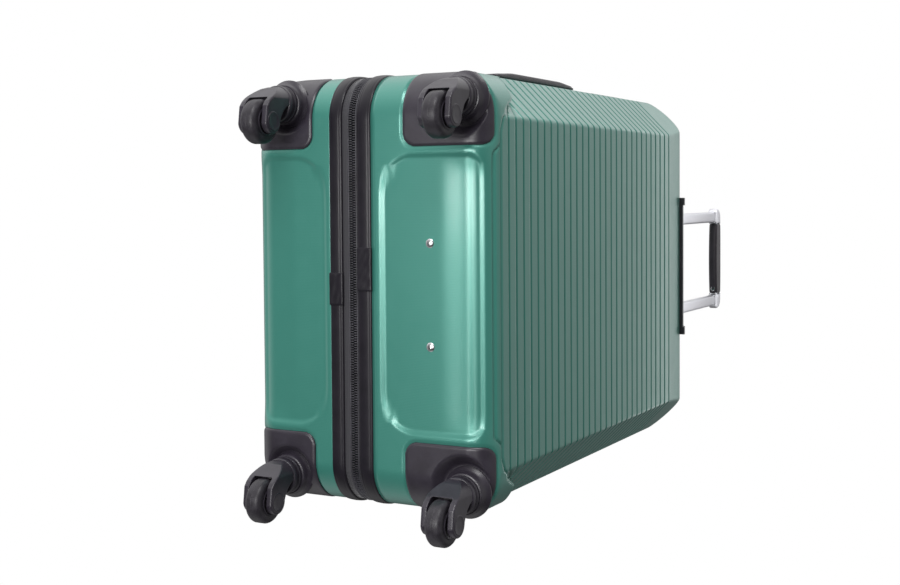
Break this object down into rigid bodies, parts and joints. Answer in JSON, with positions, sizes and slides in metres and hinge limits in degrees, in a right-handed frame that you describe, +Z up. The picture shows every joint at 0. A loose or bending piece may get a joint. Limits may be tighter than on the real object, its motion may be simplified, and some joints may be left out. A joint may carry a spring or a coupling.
{
  "type": "hard shell suitcase on wheels",
  "caption": "Upright hard shell suitcase with a ribbed zip-round shell, hinged lid, swivel casters, telescopic trolley handle, carry handles and a combination lock.",
  "frame": {"origin": "on the floor under the middle of the case, where the four wheels stand", "axes": "+Z up along the case's height, +Y towards the back with the trolley, -Y towards the lid, +X towards the side with the carry handle and the lock"},
  "size_m": [0.4675, 0.2816, 0.8895],
  "materials": {
    "shell": "metallic green moulded shell with a fine diamond grain, satin",
    "trim": "satin black extruded trim",
    "zip_tape": "dark grey woven tape",
    "zip_teeth": "moulded black coil teeth",
    "lining": "grey woven polyester lining",
    "strap": "black elastic webbing with a plastic buckle",
    "tube": "clear anodised, satin",
    "black_plastic": "satin black with a fine grain",
    "caster_plastic": "satin black moulded",
    "tyre": "smooth dark rubber",
    "rubber": "matt moulded",
    "grip": "soft satin black",
    "dial": "light grey dials with dark numbers",
    "steel": "bright plated",
    "zip_metal": "dark plated die-cast"
  },
  "bodies": {
    "case": {"back_shell": "shell", "back_trim": "trim", "back_zip_tape": "zip_tape", "back_zip_coil": "zip_teeth", "back_trim_sleeve": "trim", "back_lining": "lining", "packing_straps": "strap", "trolley_outer_tubes": "tube", "trolley_bezel": "black_plastic", "trolley_foot": "black_plastic", "trolley_rivets": "steel", "handle_mounts": "black_plastic", "side_feet_back": "rubber", "lock_body": "black_plastic", "hinge_tape_back": "zip_tape", "caster_housing_bl": "caster_plastic", "caster_housing_br": "caster_plastic", "kingpins_back": "steel"},
    "lid": {"front_shell": "shell", "front_trim": "trim", "front_zip_tape": "zip_tape", "front_zip_coil": "zip_teeth", "front_trim_sleeve": "trim", "front_lining": "lining", "side_feet_front": "rubber", "hinge_tape_front": "zip_tape", "caster_housing_fl": "caster_plastic", "caster_housing_fr": "caster_plastic", "kingpins_front": "steel"},
    "caster_bl": {"fork_bl": "caster_plastic", "axle_bl": "caster_plastic"},
    "wheel_bl": {"hub_bl": "caster_plastic", "tyre_bl": "tyre"},
    "caster_br": {"fork_br": "caster_plastic", "axle_br": "caster_plastic"},
    "wheel_br": {"hub_br": "caster_plastic", "tyre_br": "tyre"},
    "caster_fl": {"fork_fl": "caster_plastic", "axle_fl": "caster_plastic"},
    "wheel_fl": {"hub_fl": "caster_plastic", "tyre_fl": "tyre"},
    "caster_fr": {"fork_fr": "caster_plastic", "axle_fr": "caster_plastic"},
    "wheel_fr": {"hub_fr": "caster_plastic", "tyre_fr": "tyre"},
    "trolley_mid": {"mid_tubes": "tube"},
    "trolley_inner": {"inner_tubes": "tube", "grip_sleeve": "grip", "grip_screw": "steel"},
    "trolley_button": {"release_button": "grip"},
    "side_handle": {"side_handle_grip": "grip"},
    "top_handle": {"top_handle_grip": "grip"},
    "dial_1": {"lock_dial_1": "dial"},
    "dial_2": {"lock_dial_2": "dial"},
    "dial_3": {"lock_dial_3": "dial"},
    "lock_push": {"lock_button": "black_plastic"},
    "slider_lower": {"zip_slider_lower": "zip_metal"},
    "slider_upper": {"zip_slider_upper": "zip_metal"},
    "puller_lower": {"zip_puller_lower": "zip_metal"},
    "puller_upper": {"zip_puller_upper": "zip_metal"}
  },
  "joints": [
    {"name": "lid_hinge", "type": "hinge", "parent": "case", "child": "lid", "pos_m": [-0.223, -0.0149, 0.366], "axis": [0, 0, -1], "range_deg": [0, 160]},
    {"name": "swivel_bl", "type": "hinge", "parent": "case", "child": "caster_bl", "pos_m": [-0.192, 0.11, 0.058], "axis": [0, 0, 1], "continuous": true},
    {"name": "roll_bl", "type": "hinge", "parent": "caster_bl", "child": "wheel_bl", "pos_m": [-0.211, 0.11, 0.0225], "axis": [0, 1, 0], "continuous": true},
    {"name": "swivel_br", "type": "hinge", "parent": "case", "child": "caster_br", "pos_m": [0.192, 0.11, 0.058], "axis": [0, 0, 1], "continuous": true},
    {"name": "roll_br", "type": "hinge", "parent": "caster_br", "child": "wheel_br", "pos_m": [0.173, 0.11, 0.0225], "axis": [0, 1, 0], "continuous": true},
    {"name": "swivel_fl", "type": "hinge", "parent": "lid", "child": "caster_fl", "pos_m": [-0.192, -0.0965, 0.058], "axis": [0, 0, 1], "continuous": true},
    {"name": "roll_fl", "type": "hinge", "parent": "caster_fl", "child": "wheel_fl", "pos_m": [-0.211, -0.0965, 0.0225], "axis": [0, 1, 0], "continuous": true},
    {"name": "swivel_fr", "type": "hinge", "parent": "lid", "child": "caster_fr", "pos_m": [0.192, -0.0965, 0.058], "axis": [0, 0, 1], "continuous": true},
    {"name": "roll_fr", "type": "hinge", "parent": "caster_fr", "child": "wheel_fr", "pos_m": [0.173, -0.0965, 0.0225], "axis": [0, 1, 0], "continuous": true},
    {"name": "trolley_mid_slide", "type": "slide", "parent": "case", "child": "trolley_mid", "axis": [0, 0, 1], "range_m": [0, 0.15]},
    {"name": "trolley_inner_slide", "type": "slide", "parent": "trolley_mid", "child": "trolley_inner", "axis": [0, 0, 1], "range_m": [-0.205, 0]},
    {"name": "release_press", "type": "slide", "parent": "trolley_inner", "child": "trolley_button", "axis": [0, 0, -1], "range_m": [0, 0.003], "stiffness_N_per_m": 400, "springref_m": -0.0005},
    {"name": "side_handle_pull", "type": "slide", "parent": "case", "child": "side_handle", "axis": [1, 0, 0], "range_m": [0, 0.018], "stiffness_N_per_m": 120},
    {"name": "top_handle_pull", "type": "slide", "parent": "case", "child": "top_handle", "axis": [0, 0, 1], "range_m": [0, 0.018], "stiffness_N_per_m": 120},
    {"name": "dial_1_turn", "type": "hinge", "parent": "case", "child": "dial_1", "pos_m": [0.223, 0.039, 0.555], "axis": [0, 0, 1], "continuous": true},
    {"name": "dial_2_turn", "type": "hinge", "parent": "case", "child": "dial_2", "pos_m": [0.223, 0.039, 0.565], "axis": [0, 0, 1], "continuous": true},
    {"name": "dial_3_turn", "type": "hinge", "parent": "case", "child": "dial_3", "pos_m": [0.223, 0.039, 0.575], "axis": [0, 0, 1], "continuous": true},
    {"name": "lock_push_in", "type": "slide", "parent": "case", "child": "lock_push", "axis": [-1, 0, 0], "range_m": [0, 0.003], "stiffness_N_per_m": 300},
    {"name": "slider_lower_run", "type": "slide", "parent": "case", "child": "slider_lower", "axis": [0, 0, -1], "range_m": [0, 0.42]},
    {"name": "slider_upper_run", "type": "slide", "parent": "case", "child": "slider_upper", "axis": [0, 0, 1], "range_m": [0, 0.022]},
    {"name": "puller_lower_lift", "type": "hinge", "parent": "slider_lower", "child": "puller_lower", "pos_m": [0.225, -0.0129, 0.558], "axis": [0, 0, -1], "range_deg": [0, 150]},
    {"name": "puller_upper_lift", "type": "hinge", "parent": "slider_upper", "child": "puller_upper", "pos_m": [0.225, -0.0129, 0.584], "axis": [0, 0, -1], "range_deg": [0, 150]}
  ]
}
